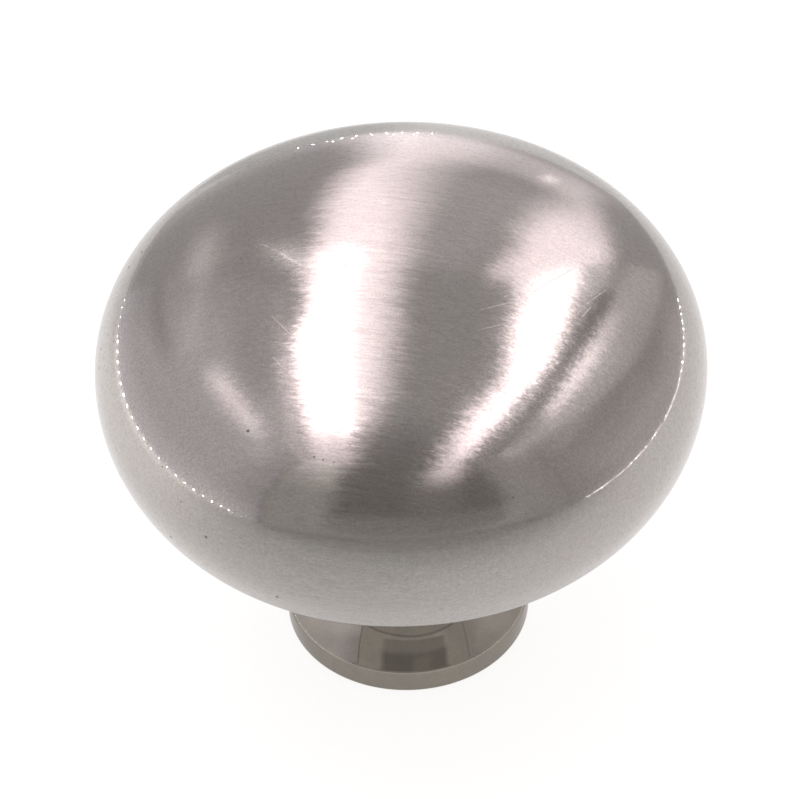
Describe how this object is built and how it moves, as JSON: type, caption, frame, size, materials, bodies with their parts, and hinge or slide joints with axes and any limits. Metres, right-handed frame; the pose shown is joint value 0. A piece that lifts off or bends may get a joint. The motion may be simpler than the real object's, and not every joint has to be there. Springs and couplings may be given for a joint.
{
  "type": "cabinet knob",
  "caption": "Round mushroom knob with a low domed head, a short neck and a flared foot, in satin nickel, fixed by a screw from behind.",
  "frame": {"origin": "centre of the foot's seat, which stands on the floor or against the cabinet door", "axes": "+Z along the knob's axis, from the seat to the crown"},
  "size_m": [0.0318, 0.0318, 0.0277],
  "materials": {
    "satin_nickel": "brushed satin nickel plate under a clear gloss lacquer"
  },
  "bodies": {
    "root": {"knob": "satin_nickel"}
  },
  "joints": []
}
